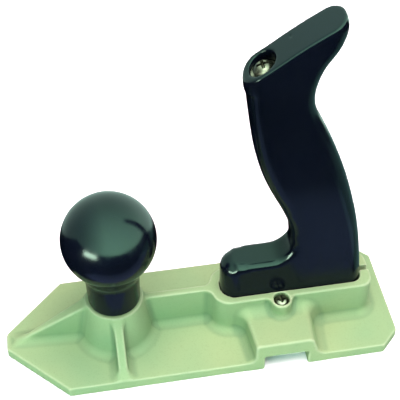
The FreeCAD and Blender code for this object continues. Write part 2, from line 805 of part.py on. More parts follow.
def knife_carrier():
    """Block with the knife's bed, a chip gullet in front and a recess for the wedge bar behind."""
    front = "channel_left_x + carrier_gap"
    rear = "channel_right_x - carrier_gap"
    body = bar_along_y("knife_carrier", [
        (front, "carrier_top"),
        (front, "gullet_height", "gullet_radius", -1),
        on_knife("carrier_lip"),
        on_knife("(recess_height - knife_edge_z) / sin(knife_angle * 1deg)"),
        ("recess_rear_x", "recess_height"),
        ("recess_rear_x", "carrier_bottom"),
        (rear, "carrier_bottom"),
        (rear, "carrier_top"),
    ], "pocket_far_y - pocket_near_y - 2 * carrier_gap")
    bore_down(body, "depth_insert_hole", "depth_insert_radius + thread_gap", "depth_x", "depth_y",
              "carrier_top", "depth_insert_length + 0.2")
    bore_pair(body, "spring_hole", "spring_spacing", "spring_radius + spring_wire_radius + 0.35",
              "spring_x", "carrier_top", "carrier_top - spring_seat")
    bore_pair(body, "guide_hole", "guide_pin_spacing", "guide_pin_radius + running_gap",
              "guide_pin_x", "carrier_top", "carrier_top - recess_height + 1")
    bore_pair(body, "clamp_thread", "clamp_screw_spacing", "clamp_screw_radius + thread_gap",
              "clamp_screw_x", "clamp_screw_tip + 0.3", "clamp_screw_tip - recess_height + 1")
    pin_x, pin_z = on_knife("knife_width / 2", "-knife_pin_press")
    bore_pair(body, "knife_pin_hole", "knife_pin_spacing", "knife_pin_radius + thread_gap",
              pin_x, pin_z, "knife_pin_press + 1", lean="knife_angle")
    return body


def knife():
    """Reversible knife: both long edges are ground, and two holes locate it."""
    ground = "knife_thickness / tan(knife_bevel * 1deg)"
    body = bar_along_y("knife", [
        on_knife("0"),
        on_knife(ground, "knife_thickness"),
        on_knife("knife_width - %s" % ground, "knife_thickness"),
        on_knife("knife_width"),
    ], "knife_length")
    hole_x, hole_z = on_knife("knife_width / 2", "-1")
    bore_pair(body, "knife_hole", "knife_pin_spacing", "knife_pin_radius + 0.1",
              hole_x, hole_z, "knife_thickness + 2", lean="knife_angle")
    return body


def knife_clamp():
    """Wedge bar that two screws draw up against the knife's back."""
    rise = "(carrier_bottom - knife_edge_z + knife_thickness * cos(knife_angle * 1deg))"
    low_x, low_z = on_knife("%s / sin(knife_angle * 1deg)" % rise, "knife_thickness")
    high_x, high_z = on_knife("clamp_reach", "knife_thickness")
    rear = "recess_rear_x - carrier_gap"
    top = "recess_height - 0.6"
    body = bar_along_y("knife_clamp", [
        (low_x, low_z),
        (rear, low_z),
        (rear, top),
        ("clamp_step_x", top),
        ("clamp_step_x", high_z),
        (high_x, high_z),
    ], "knife_length")
    sink = "clamp_head_radius - clamp_screw_radius"
    bore_pair(body, "clamp_hole", "clamp_screw_spacing", "clamp_screw_radius + 0.15",
              "clamp_screw_x", "recess_height", "recess_height")
    bore_pair(body, "clamp_countersink", "clamp_screw_spacing", "clamp_screw_radius + thread_gap",
              "clamp_screw_x", "carrier_bottom + %s" % sink, sink, draft="45")
    relief_x, relief_z = on_knife("knife_width / 2", "knife_thickness - 0.5")
    bore_pair(body, "pin_relief", "knife_pin_spacing", "knife_pin_radius + 0.2",
              relief_x, relief_z, "1.5", lean="knife_angle")
    return body


def coil_spring(label, x, y):
    """Compression spring between the carrier and the pocket's ceiling."""
    body = new_body(label)
    wire = new_sketch(body, label + "_wire", "XZ_Plane")
    draw_circle(wire, "spring_wire_radius", "spring_radius", "spring_wire_radius")
    coil = body.newObject("PartDesign::AdditiveHelix", label + "_coil")
    coil.Profile = wire
    coil.ReferenceAxis = (wire, ["V_Axis"])
    coil.Mode = "height-turns-angle"
    coil.Turns = 3.5
    bind(coil, Height="pocket_height - spring_seat - 2 * spring_wire_radius - running_gap")
    place(body, x, y, "spring_seat")
    return body


def carrier_small_parts():
    """Screws, pins, springs and thread insert of the knife carrier."""
    pin_x, pin_z = on_knife("knife_width / 2")
    screws = []
    for y in spread("clamp_screw_spacing"):
        label = "clamp_screw_%d" % (len(screws) + 1)
        screws.append(countersunk_screw(label, "clamp_screw_radius", "clamp_head_radius",
                                        "clamp_screw_tip - carrier_bottom", 2.0,
                                        "clamp_screw_x", y, "carrier_bottom"))
    guides = []
    for y in spread("guide_pin_spacing"):
        label = "carrier_guide_pin_%d" % (len(guides) + 1)
        guides.append(pin(label, "guide_pin_radius", "guide_pin_tip", "pocket_height + guide_pin_press",
                          "guide_pin_x", y))
    locators = []
    for y in spread("knife_pin_spacing"):
        label = "knife_locating_pin_%d" % (len(locators) + 1)
        locators.append(pin(label, "knife_pin_radius", "-knife_thickness", "knife_pin_press - 0.2",
                            pin_x, y, pin_z, "knife_angle"))
    springs = []
    for y in spread("spring_spacing"):
        springs.append(coil_spring("carrier_spring_%d" % (len(springs) + 1), "spring_x", y))
    group("clamp_screws", screws)
    group("carrier_guide_pins", guides)
    group("knife_locating_pins", locators)
    group("carrier_springs", springs)


def depth_adjuster():
    """Screw that raises and lowers the carrier, its friction washer and its thread insert."""
    at_screw = {"x": "depth_x", "y": "depth_y"}
    pan_screw("depth_screw", "depth_head_radius", "depth_head_height", "depth_screw_radius",
              "depth_head_seat - depth_screw_tip", z="depth_head_seat", **at_screw)
    tube("depth_screw_washer", "depth_screw_radius + running_gap", "depth_head_radius",
         "depth_head_seat - depth_washer_height", "depth_head_seat - running_gap", **at_screw)
    tube("depth_thread_insert", "depth_screw_radius + running_gap", "depth_insert_radius",
         "carrier_top - depth_insert_length", "carrier_top", **at_screw)


def check_and_export():
    """Stop on any failed object, then write one STEP file for each sub-part."""
    doc.recompute()
    for item in doc.Objects:
        if "Invalid" in item.State or "Error" in item.State:
            raise RuntimeError("%s is %s" % (item.Name, item.State))
    os.makedirs("parts", exist_ok=True)
    for label in NODES:
        shape = doc.getObjectsByLabel(label)[0].Shape
        if shape.isNull() or not shape.isValid():
            raise RuntimeError("%s has no valid shape" % label)
        shape.exportStep("parts/%s.step" % label)
        print("%-22s %d solids %10.1f mm3" % (label, len(shape.Solids), shape.Volume))


fill_sheet()
base_casting()
front_knob()
knob_fixing()
rear_handle()
handle_fixings()
knife_carrier()
knife()
knife_clamp()
carrier_small_parts()
depth_adjuster()
check_and_export()
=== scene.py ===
import json
import math

import bpy
import numpy as np
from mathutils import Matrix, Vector


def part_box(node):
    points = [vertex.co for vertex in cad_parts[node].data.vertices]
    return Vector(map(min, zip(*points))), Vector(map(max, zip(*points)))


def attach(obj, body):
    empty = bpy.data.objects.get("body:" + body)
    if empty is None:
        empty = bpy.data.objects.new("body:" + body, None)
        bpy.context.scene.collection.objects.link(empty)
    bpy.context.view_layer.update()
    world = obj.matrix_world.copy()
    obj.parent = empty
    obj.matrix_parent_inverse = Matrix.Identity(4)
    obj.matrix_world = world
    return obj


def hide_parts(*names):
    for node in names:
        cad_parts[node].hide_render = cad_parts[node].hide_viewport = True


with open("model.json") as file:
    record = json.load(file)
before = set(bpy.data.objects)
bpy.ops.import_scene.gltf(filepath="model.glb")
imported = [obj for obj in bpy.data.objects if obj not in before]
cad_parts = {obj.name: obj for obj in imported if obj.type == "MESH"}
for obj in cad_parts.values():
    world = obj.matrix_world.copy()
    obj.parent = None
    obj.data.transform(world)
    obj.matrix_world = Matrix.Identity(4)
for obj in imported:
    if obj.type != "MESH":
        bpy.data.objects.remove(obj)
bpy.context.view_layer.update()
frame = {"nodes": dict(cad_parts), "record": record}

# ---------------------------------------------------------------- sizes, in millimetres


def box_mm(node):
    """Lowest and highest corners of a CAD node."""
    low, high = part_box(node)
    return [1000 * v for v in low], [1000 * v for v in high]


casting_low, casting_high = box_mm("base_casting")
grip_low, grip_high = box_mm("rear_handle")
carrier_low, carrier_high = box_mm("knife_carrier")

HALF_LENGTH = casting_high[0]
HALF_WIDTH = casting_high[1]
BOSS_TOP = casting_high[2]
PLATE_TOP = 6.3
SEAT_TOP = 29.0
SOCKET_FLOOR = grip_low[2]
KNOB_X = -42.9
TOE_SCREW_X = 19.5
DEPTH_SCREW = (40.1, -13.0)
GUIDE_PIN_X = 46.4
KNIFE_Y = (carrier_low[1] + carrier_high[1]) / 2
# long screw of the grip: its lean from upright, and where it meets the socket's floor and its washer
SCREW_LEAN = math.radians(16.5)
SCREW_FOOT_X = 71.78
SCREW_HEAD = (27.44, 167.2)

# ---------------------------------------------------------------- distance fields, in millimetres


def axes(low, high, step):
    """Open grid of sample places between two corners."""
    lines = [np.arange(a, b + s, s, dtype=np.float32) for a, b, s in zip(low, high, step)]
    return lines[0][:, None, None], lines[1][None, :, None], lines[2][None, None, :]


def polygon_distance(u, v, corners):
    """Signed distance to a closed polygon, negative inside."""
    shape = np.broadcast(u, v).shape
    inside = np.zeros(shape, bool)
    nearest = np.full(shape, 1e9, np.float32)
    for (au, av), (bu, bv) in zip(corners, corners[1:] + corners[:1]):
        eu, ev = bu - au, bv - av
        wu, wv = u - au, v - av
        along = np.clip((wu * eu + wv * ev) / (eu * eu + ev * ev), 0, 1)
        nearest = np.minimum(nearest, (wu - along * eu) ** 2 + (wv - along * ev) ** 2)
        if abs(ev) > 1e-9:
            inside ^= ((av > v) != (bv > v)) & (u < eu * (v - av) / ev + au)
    return np.where(inside, -1, 1) * np.sqrt(nearest)


def blend_union(a, b, radius):
    """Union with a concave fillet."""
    u = np.maximum(radius - a, 0)
    v = np.maximum(radius - b, 0)
    return np.maximum(radius, np.minimum(a, b)) - np.hypot(u, v)


def blend_cut(a, b, radius):
    """Intersection with a rounded edge."""
    u = np.maximum(radius + a, 0)
    v = np.maximum(radius + b, 0)
    return np.minimum(-radius, np.maximum(a, b)) + np.hypot(u, v)


def racetrack_distance(x, y, front, rear, half, front_radius, rear_radius):
    """Signed distance to a rectangle in plan whose front and rear corners have their own radii."""
    middle = (front + rear) / 2
    radius = np.where(x < middle, front_radius, rear_radius)
    u = np.abs(x - middle) - (rear - front) / 2 + radius
    v = np.abs(y) - half + radius
    return np.minimum(np.maximum(u, v), 0) + np.hypot(np.maximum(u, 0), np.maximum(v, 0)) - radius


def box_distance(x, y, z, low, high):
    """Greatest of the six distances to a box's faces."""
    spans = [np.maximum(lo - at, at - hi) for at, lo, hi in zip((x, y, z), low, high)]
    return np.maximum(np.maximum(spans[0], spans[1]), spans[2])


EDGES = [(a, a | bit) for bit in (1, 2, 4) for a in range(8) if not a & bit]


def surface_net(name, field, low, step):
    """Mesh through the zero level of a sampled field, in metres, with a vertex per crossed cell."""
    field = field.astype(np.float32)
    counts = [n - 1 for n in field.shape]
    corners = []
    for corner in range(8):
        at = [slice((corner >> axis) & 1, ((corner >> axis) & 1) + counts[axis]) for axis in range(3)]
        corners.append(field[tuple(at)])
    inside = [values < 0 for values in corners]
    crossed = np.logical_or.reduce(inside) & ~np.logical_and.reduce(inside)
    cells = np.argwhere(crossed)
    values = np.stack([block[crossed] for block in corners], axis=1)
    total = np.zeros((len(cells), 3), np.float32)
    hits = np.zeros(len(cells), np.float32)
    for a, b in EDGES:
        hit = (values[:, a] < 0) != (values[:, b] < 0)
        along = values[:, a] / np.where(hit, values[:, a] - values[:, b], 1)
        start = np.array([(a >> axis) & 1 for axis in range(3)], np.float32)
        end = np.array([(b >> axis) & 1 for axis in range(3)], np.float32)
        total += np.where(hit[:, None], start + along[:, None] * (end - start), 0)
        hits += hit
    points = (cells + total / hits[:, None]) * np.array(step) + np.array(low)
    index = np.full(counts, -1, np.int64)
    index[crossed] = np.arange(len(cells))
    quads = []
    for axis in range(3):
        u, v = (axis + 1) % 3, (axis + 2) % 3
        first = [slice(None)] * 3
        first[axis] = slice(0, -1)
        second = list(first)
        second[axis] = slice(1, None)
        for other in (u, v):
            first[other] = slice(1, -1)
            second[other] = slice(1, -1)
        negative = field[tuple(first)] < 0
        change = negative != (field[tuple(second)] < 0)
        places = np.argwhere(change)
        out = negative[change]
        for other in (u, v):
            places[:, other] += 1
        ring = []
        for du, dv in ((1, 1), (0, 1), (0, 0), (1, 0)):
            at = places.copy()
            at[:, u] -= du
            at[:, v] -= dv
            ring.append(index[at[:, 0], at[:, 1], at[:, 2]])
        ring = np.stack(ring, axis=1)
        quads.append(np.where(out[:, None], ring, ring[:, ::-1]))
    quads = np.concatenate(quads)
    return mesh_object(name, points / 1000, quads)


def mesh_object(name, points, faces):
    """Smooth-shaded object from points in metres and faces."""
    mesh = bpy.data.meshes.new(name)
    mesh.from_pydata([tuple(p) for p in points.tolist()], [], [tuple(f) for f in faces.tolist()])
    mesh.validate()
    mesh.shade_smooth()
    piece = bpy.data.objects.new(name, mesh)
    bpy.context.scene.collection.objects.link(piece)
    return piece


def relax(piece, rounds, factor):
    """Even out the mesh a little."""
    smooth = piece.modifiers.new("relax", "SMOOTH")
    smooth.iterations = rounds
    smooth.factor = factor


# ---------------------------------------------------------------- the cast base

def plate_outline():
    """Corners of the plate in plan: a blunt nose, straight sides and cut corners at the tail."""
    near = [(-HALF_LENGTH, -4.8), (-70.3, -HALF_WIDTH), (90.8, -HALF_WIDTH), (HALF_LENGTH, -25.2)]
    far = [(px, -py) for px, py in reversed(near)]
    return near + far


def knob_boss(x, y, z):
    """Conical boss under the knob, with a fin towards the nose and a rib to each side."""
    foot_radius, top_radius = 18.4, 14.4
    lean = math.atan2(foot_radius - top_radius, BOSS_TOP - PLATE_TOP)
    rho = np.hypot(x - KNOB_X, y)
    cone = (rho - foot_radius + (z - PLATE_TOP) * math.tan(lean)) * math.cos(lean)

    fin_start, fin_length, fin_rise = -93.5, 37.4, 25.0
    along = (x - fin_start) / fin_length
    fin_half = 0.95 + np.clip(along, 0, 1.2) * 2.55
    fin_top = (z - 6.9 - along * fin_rise) * math.cos(math.atan2(fin_rise, fin_length))
    fin = blend_cut(np.abs(y) - fin_half, fin_top, 0.8)
    fin = np.maximum(fin, np.maximum(fin_start - x, x - KNOB_X))

    rib_half, rib_foot_y, rib_length, rib_rise = 2.3, 32.6, 19.4, 25.6
    slope = math.atan2(rib_rise, rib_length)
    rib_top = (z - PLATE_TOP - (rib_foot_y - np.abs(y)) * math.tan(slope)) * math.cos(slope)
    ribs = blend_cut(np.abs(x - KNOB_X) - rib_half, rib_top, 0.8)
    ribs = np.maximum(ribs, np.abs(y) - rib_foot_y - 1)
    return blend_union(blend_union(cone, ribs, 2.0), fin, 2.4)


def spine_and_seat(x, y):
    """Thin wall from the boss to the seat, and the seat that holds the grip, without their tops."""
    spine_half, spine_end = 1.85, 15
    spine = np.maximum(np.abs(y) - spine_half, np.maximum(KNOB_X - x, x - spine_end))
    seat = racetrack_distance(x, y, front=6.3, rear=88.8, half=11.8, front_radius=8.6, rear_radius=6.4)
    return blend_union(spine, seat, 4.0)


def hump(x, y, z):
    """Hump over the knife's channel: it widens towards the seat, and its rear side leans."""
    top, front_x, rear_x, lean_run, inner_y = 19.8, 23.5, 58.4, 5.9, -2
    flare = 2.6 * (y + HALF_WIDTH) / 28.4
    lean = math.atan2(lean_run, top)
    rear = (x - rear_x - flare + z * math.tan(lean)) * math.cos(lean)
    sides = blend_cut(front_x - flare - x, rear, 2.2)
    return blend_cut(blend_cut(sides, z - top, 2.2), y - inner_y, 0.5)


def depth_screw_boss(x, y, z):
    """Round boss of the depth screw beside the seat, a little narrower at its foot."""
    radius, draft = 5.5, math.radians(4)
    out = np.hypot(x - DEPTH_SCREW[0], y - DEPTH_SCREW[1])
    pillar = (out - radius + (SEAT_TOP - z) * math.tan(draft)) * math.cos(draft)
    return blend_cut(pillar, z - SEAT_TOP, 0.6)


def casting_openings(x, y, z):
    """Fields of the socket, the channel, the pocket and the holes that are cut from the casting."""
    socket = racetrack_distance(x, y, front=10.75, rear=83.45, half=8.27,
                                front_radius=7.55, rear_radius=5.45)
    key_slot = box_distance(x, y, z, (82.3, -1.3, 20.0), (95, 1.3, 40))
    channel = box_distance(x, y, z, (28.25, -40, -5), (50.75, -24.5, 10.1))
    play = 0.5
    pocket = box_distance(x, y, z, (carrier_low[0] - play, -24.8, -5),
                          (carrier_high[0] + play, carrier_high[1] + play, 14.75))
    knob_screw = np.hypot(x - KNOB_X, y)
    depth_screw = np.hypot(x - DEPTH_SCREW[0], y - DEPTH_SCREW[1])
    toe_screw = np.hypot(x - TOE_SCREW_X, y)
    holes = [
        np.maximum(socket, SOCKET_FLOOR - z),
        key_slot,
        channel,
        pocket,
        knob_screw - 4.4,
        np.maximum(knob_screw - 7.6, z - 11.0),
        np.maximum(depth_screw - 2.04, 12 - z),
        np.maximum(depth_screw - 4.05, 24.9 - z),
        toe_screw - 2.25,
        np.maximum(toe_screw - 4.63 + z, z - 3),
    ]
    for side in (-13.1, 13.1):
        guide_pin = np.hypot(x - GUIDE_PIN_X, y - KNIFE_Y - side)
        holes.append(np.maximum(guide_pin - 1.53, z - 16.9))
    rise = z - SOCKET_FLOOR
    down = (x - SCREW_FOOT_X) * math.sin(SCREW_LEAN) - rise * math.cos(SCREW_LEAN)
    out = np.sqrt(np.maximum((x - SCREW_FOOT_X) ** 2 + y ** 2 + rise ** 2 - down ** 2, 0))
    holes.append(np.maximum(np.maximum(out - 4.03, down - 10.7), -3 - down))
    return holes


def casting_field(x, y, z):
    """Distance field of the casting: soft blends inside, small rounds outside, sharp machined sole."""
    plan = polygon_distance(x, y, plate_outline())
    plate = blend_cut(plan, z - PLATE_TOP, 0.7)

    # the top of the walls climbs 1 mm from the seat to the boss
    climb_start = 14.9
    top = SEAT_TOP + np.clip((climb_start - x) / (climb_start - KNOB_X), 0, 1)
    walls = blend_cut(spine_and_seat(x, y), z - top, 0.7)
    walls = blend_union(walls, hump(x, y, z), 6.0)
    walls = blend_cut(blend_union(walls, depth_screw_boss(x, y, z), 2.8), z - top, 0.5)
    walls = blend_union(walls, knob_boss(x, y, z), 2.4)

    body = blend_union(plate, walls, 4.5)
    body = blend_cut(body, z - BOSS_TOP, 0.5)
    body = blend_cut(body, plan, 0.6)
    for hole in casting_openings(x, y, z):
        body = blend_cut(body, -hole, 0.25)
    return np.maximum(body, -z)


def cast_base():
    """The base with its blends. Rows of samples fall on the thin lip between socket and depth screw."""
    step = (0.8, 0.63, 0.63)
    low = (-101.6, -35.69, -1.4)
    x, y, z = axes(low, (101.5, 35.7, 33.4), step)
    field = casting_field(x, y, z)
    piece = surface_net("cast_base", field, low, step)
    relax(piece, 2, 0.4)
    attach(piece, "base")
    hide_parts("base_casting")
    return piece


# ---------------------------------------------------------------- the grip


def spline(points, steps=10):
    """Natural cubic spline through points, spaced by their chords."""
    p = np.array(points, float)
    gaps = np.hypot(*(p[1:] - p[:-1]).T)
    matrix = np.eye(len(p))
    right = np.zeros_like(p)
    for i in range(1, len(p) - 1):
        matrix[i, i - 1:i + 2] = gaps[i - 1], 2 * (gaps[i - 1] + gaps[i]), gaps[i]
        right[i] = 6 * ((p[i + 1] - p[i]) / gaps[i] - (p[i] - p[i - 1]) / gaps[i - 1])
    bend = np.linalg.solve(matrix, right)
    curve = []
    for i, gap in enumerate(gaps):
        for t in np.arange(steps) / steps * gap:
            s = gap - t
            cubic = (bend[i] * s ** 3 + bend[i + 1] * t ** 3) / (6 * gap)
            left = (p[i] / gap - bend[i] * gap / 6) * s
            curve.append(cubic + left + (p[i + 1] / gap - bend[i + 1] * gap / 6) * t)
    return [tuple(point) for point in curve] + [tuple(p[-1])]


def soften(field, rounds):
    """Blur a flat field a little, which rounds the corners of its zero level."""
    for _ in range(rounds):
        for axis in (0, 2):
            padded = np.pad(field, [(1, 1) if i == axis else (0, 0) for i in range(3)], mode="edge")
            before = [slice(None)] * 3
            after = [slice(None)] * 3
            before[axis], after[axis] = slice(0, -2), slice(2, None)
            field = field / 2 + (padded[tuple(before)] + padded[tuple(after)]) / 4
    return field


def radius_field(x, z, guides):
    """Smooth field of rounding radii from (place, radius) guides."""
    total = 0
    weights = 0
    for (gx, gz), radius in guides:
        weight = 1 / ((x - gx) ** 2 + (z - gz) ** 2 + 4) ** 2
        total = total + weight * radius
        weights = weights + weight
    return total / weights


def grip_outline():
    """Side view of the grip: toe, round throat, front, horn and back. Its top is cut by the crown."""
    throat_x, throat_z, throat_radius = 34.5, 61.5, 10.9
    turns = np.linspace(0, math.pi / 2, 12)
    throat = [(throat_x + throat_radius * math.sin(a), throat_z - throat_radius * math.cos(a))
              for a in turns]
    front = spline([(45.4, 61.5), (43.5, 72.7), (36.0, 91.0), (29.0, 108.0), (24.9, 123.5),
                    (21.9, 142.0), (19.9, 157.0)])
    back = spline([(59.2, 193.2), (60.7, 188.5), (60.2, 182.5), (57.3, 175.4), (53.4, 169.0),
                   (50.0, 158.5), (50.2, 147.5), (54.5, 136.9), (61.5, 121.4), (67.8, 104.8),
                   (72.7, 88.8), (77.2, 70.6), (80.4, 52.4), (82.3, 38.0), (83.1, 27.0),
                   (83.3, 17.5)])
    outline = [(-9, 5), (-9, 50.6)] + throat + front[1:]
    outline += [(19.1, 158.0), (18.5, 164.2), (17.6, 172.0), (17.0, 220.0), (52.0, 220.0),
                (57.6, 198.5)]
    return outline + back + [(83.3, 5)]


def grip_crown():
    """Side view of everything under the grip's sloped top face."""
    face = spline([(18.6, 164.2), (21.4, 167.4), (28.6, 172.9), (40.0, 181.2), (50.0, 187.7),
                   (59.2, 193.2)])
    return [(-30, 118), (12, 157)] + face + [(75, 202.0), (120, 226), (120, -50), (-30, -50)]


# how round the grip's long edges are: places along its outline, each with a radius
ROUNDING = [
    ((2, 50), 8.4), ((9, 50), 8.4), ((15, 50), 7.6), ((20, 50), 4.4), ((26, 50), 3.0),
    ((33, 50), 3.0), ((41, 53), 3.6), ((45, 61), 4.6), ((44, 72), 5.6), ((36, 91), 6.8),
    ((29, 108), 7.0), ((25, 123), 7.0), ((21, 145), 7.0), ((19, 160), 7.3), ((18, 170), 7.3),
    ((59, 196), 7.5), ((60.5, 185), 7.4), ((57, 175), 7.0), ((51, 160), 6.6), ((51, 145), 6.4),
    ((61, 121), 6.4), ((68, 104), 6.4), ((73, 88), 6.4), ((77, 70), 6.2), ((81, 50), 6.0),
    ((83, 35), 6.0), ((83, 20), 6.0),
]


def grip_field(x, y, z):
    """Distance field of the grip in its socket."""
    side = soften(polygon_distance(x, z, grip_outline()), 2)
    plan = racetrack_distance(x, y, front=grip_low[0], rear=130, half=grip_high[1],
                              front_radius=7.4, rear_radius=1.0)
    body = blend_cut(side, plan, radius_field(x, z, ROUNDING))
    body = blend_cut(body, polygon_distance(x, z, grip_crown()), 0.9)
    body = np.maximum(body, SOCKET_FLOOR - z)
    key = box_distance(x, y, z, (79, -1.0, 20.3), (grip_high[0], 1.0, 26.0))
    body = np.minimum(body, key)

    east, up = x - SCREW_HEAD[0], z - SCREW_HEAD[1]
    across = east * math.cos(SCREW_LEAN) + up * math.sin(SCREW_LEAN)
    along = up * math.cos(SCREW_LEAN) - east * math.sin(SCREW_LEAN)
    screw = np.hypot(across, y)
    counterbore = np.maximum(screw - 6.2, -1.0 - along)
    toe_insert = np.maximum(np.hypot(x - TOE_SCREW_X, y) - 3.53, z - 29.0)
    dimple = np.sqrt((x - 39.2) ** 2 + (y - 3.9) ** 2 + (z - 179.35) ** 2) - 0.65
    body = blend_cut(body, -counterbore, 0.35)
    for hole in (screw - 2.9, toe_insert, dimple):
        body = np.maximum(body, -hole)
    return body


def grip():
    """The grip with its changing rounding, in place of the plain handle."""
    step = (0.55, 0.5, 0.55)
    low = (9.3, -9.25, 16.2)
    x, y, z = axes(low, (86.5, 9.3, 195.2), step)
    piece = surface_net("grip", grip_field(x, y, z), low, step)
    relax(piece, 5, 0.5)
    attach(piece, "base")
    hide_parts("rear_handle")
    return piece


# ---------------------------------------------------------------- the ball knob


def knob_field(x, y, z):
    """Distance field of the ball and its neck, with the bore of its threaded insert."""
    ball_radius, ball_z = 22.8, 75.2
    rho = np.hypot(x - KNOB_X, y)
    ball = np.hypot(rho, z - ball_z) - ball_radius
    neck_radius = 12.4 + 0.021 * z
    neck = blend_cut(np.maximum(rho - neck_radius, z - 75), BOSS_TOP - z, 0.6)
    bore = np.maximum(rho - 6.54, z - 51.2)
    return np.maximum(blend_union(ball, neck, 6.0), -bore)


def knob():
    """The ball and its neck, in place of the plain knob."""
    step = (0.6, 0.6, 0.6)
    low = (KNOB_X - 24, -24, 31.1)
    x, y, z = axes(low, (KNOB_X + 24, 24, 99), step)
    piece = surface_net("knob", knob_field(x, y, z), low, step)
    relax(piece, 3, 0.5)
    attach(piece, "base")
    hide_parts("front_knob")
    return piece


# ---------------------------------------------------------------- materials


class Nodes:
    """One material, built from nodes."""

    def __init__(self, name):
        self.material = bpy.data.materials.new(name)
        self.material.use_nodes = True
        self.tree = self.material.node_tree
        self.shader = self.tree.nodes["Principled BSDF"]
        coordinates = self.tree.nodes.new("ShaderNodeTexCoord")
        self.place = coordinates.outputs["Object"]

    def add(self, kind, **inputs):
        """New node with its inputs set or linked."""
        node = self.tree.nodes.new(kind)
        for key, value in inputs.items():
            self.feed(node.inputs[key.replace("_", " ")], value)
        return node

    def feed(self, socket, value):
        """Link a socket's value into an input, or set the input."""
        if isinstance(value, bpy.types.NodeSocket):
            self.tree.links.new(value, socket)
        else:
            socket.default_value = value

    def noise(self, scale, detail=3.0, roughness=0.5, distortion=0.0, stretch=None):
        """Noise fixed to the object, stretched along its axes if asked."""
        place = self.place
        if stretch:
            mapping = self.add("ShaderNodeMapping", Vector=place)
            mapping.inputs["Scale"].default_value = stretch
            place = mapping.outputs["Vector"]
        node = self.add("ShaderNodeTexNoise", Vector=place, Scale=scale, Detail=detail,
                        Roughness=roughness, Distortion=distortion)
        return node.outputs["Fac"]

    def ramp(self, value, stops):
        """Colour that follows a value between (position, colour) stops."""
        node = self.add("ShaderNodeValToRGB", Fac=value)
        while len(node.color_ramp.elements) < len(stops):
            node.color_ramp.elements.new(0.5)
        for element, (position, colour) in zip(node.color_ramp.elements, stops):
            element.position = position
            element.color = (*colour, 1)
        return node.outputs["Color"]

    def range(self, value, low, high, to_low, to_high):
        """Value moved from one range to another and clamped."""
        node = self.add("ShaderNodeMapRange", Value=value)
        numbers = {"From Min": low, "From Max": high, "To Min": to_low, "To Max": to_high}
        for key, number in numbers.items():
            node.inputs[key].default_value = number
        return node.outputs["Result"]

    def mix(self, factor, a, b, mode="MIX"):
        """Colour mixed from a and b."""
        node = self.tree.nodes.new("ShaderNodeMix")
        node.data_type = "RGBA"
        node.blend_type = mode
        self.feed(node.inputs[0], factor)
        self.feed(node.inputs[6], a)
        self.feed(node.inputs[7], b)
        return node.outputs[2]

    def bump(self, heights):
        """Chain of bumps from (height, strength, distance in metres)."""
        normal = None
        for height, strength, distance in heights:
            node = self.add("ShaderNodeBump", Strength=strength, Distance=distance, Height=height)
            if normal:
                self.feed(node.inputs["Normal"], normal)
            normal = node.outputs["Normal"]
        self.feed(self.shader.inputs["Normal"], normal)

    def set(self, **values):
        """Set or link inputs of the material's shader."""
        for key, value in values.items():
            self.feed(self.shader.inputs[key.replace("_", " ")], value)


def casting_paint():
    """Pale green enamel over a die casting: faint waves, fine orange peel, a painted highlight on the
    convex edges and painted shade in the concave creases.
    """
    blue_green, yellow_green = (0.158, 0.260, 0.128), (0.212, 0.290, 0.138)
    # the first colour is a lighter green painted on convex edges as a highlight, the second a darker
    # green painted in concave creases as shade
    edge_highlight_colour, crease_shade_colour = (0.33, 0.39, 0.24, 1), (0.112, 0.185, 0.092, 1)
    m = Nodes("casting_paint_look")
    cloud = m.ramp(m.noise(22.0, 2.0), [(0.30, blue_green), (0.70, yellow_green)])
    pointiness = m.add("ShaderNodeNewGeometry").outputs["Pointiness"]
    # painted highlight: where pointiness is high, on convex edges, the colour turns lighter
    edge = m.range(pointiness, 0.512, 0.56, 0.0, 0.75)
    # painted shade: where pointiness is low, in concave creases and fillets, the colour turns darker
    crease_shade = m.range(pointiness, 0.484, 0.4985, 0.85, 0.0)
    colour = m.mix(edge, cloud, edge_highlight_colour)
    colour = m.mix(crease_shade, colour, crease_shade_colour)
    specks = m.ramp(m.noise(1500.0, 2.0), [(0.30, (0.90, 0.90, 0.90)), (0.45, (1, 1, 1))])
    colour = m.mix(1.0, colour, specks, "MULTIPLY")
    m.set(Base_Color=colour, Roughness=m.range(m.noise(90.0, 4.0), 0.3, 0.7, 0.50, 0.65))
    m.set(Specular_IOR_Level=0.03)
    waves, peel = m.noise(45.0, 2.0), m.noise(650.0, 3.0)
    m.bump([(waves, 0.25, 0.0012), (peel, 0.16, 0.00018)])
    return m.material


def black_plastic():
    """Polished black moulding, slightly blue-green, with faint moulding waves and handling marks."""
    black, blue_black = (0.0012, 0.0018, 0.0044), (0.0018, 0.0026, 0.0064)
    m = Nodes("black_plastic_look")
    tone = m.ramp(m.noise(30.0, 2.0), [(0.3, black), (0.7, blue_black)])
    marks = m.noise(260.0, 6.0, 0.6, 0.4, stretch=(1.0, 1.0, 0.25))
    m.set(Base_Color=tone, Roughness=m.range(marks, 0.35, 0.70, 0.13, 0.24))
    m.set(Specular_IOR_Level=0.13, Specular_Tint=(0.66, 1.0, 0.74, 1))
    waves, grain = m.noise(70.0, 1.0), m.noise(1400.0, 2.0)
    m.bump([(waves, 0.10, 0.0006), (grain, 0.05, 0.00008)])
    return m.material


def metal(name, dark, light, rough, turned=False, metallic=1.0):
    """Machined or plated metal with fine tool marks and tarnish."""
    m = Nodes(name)
    tarnish = m.ramp(m.noise(240.0, 5.0), [(0.35, dark), (0.62, light)])
    stretch = (1.0, 1.0, 9.0) if turned else (6.0, 1.0, 1.0)
    lines = m.noise(1800.0, 2.0, 0.5, 0.0, stretch=stretch)
    m.set(Base_Color=tarnish, Metallic=metallic)
    m.set(Roughness=m.range(lines, 0.3, 0.7, rough[0], rough[1]))
    m.bump([(lines, 0.12, 0.00004), (m.noise(500.0, 3.0), 0.10, 0.00006)])
    return m.material


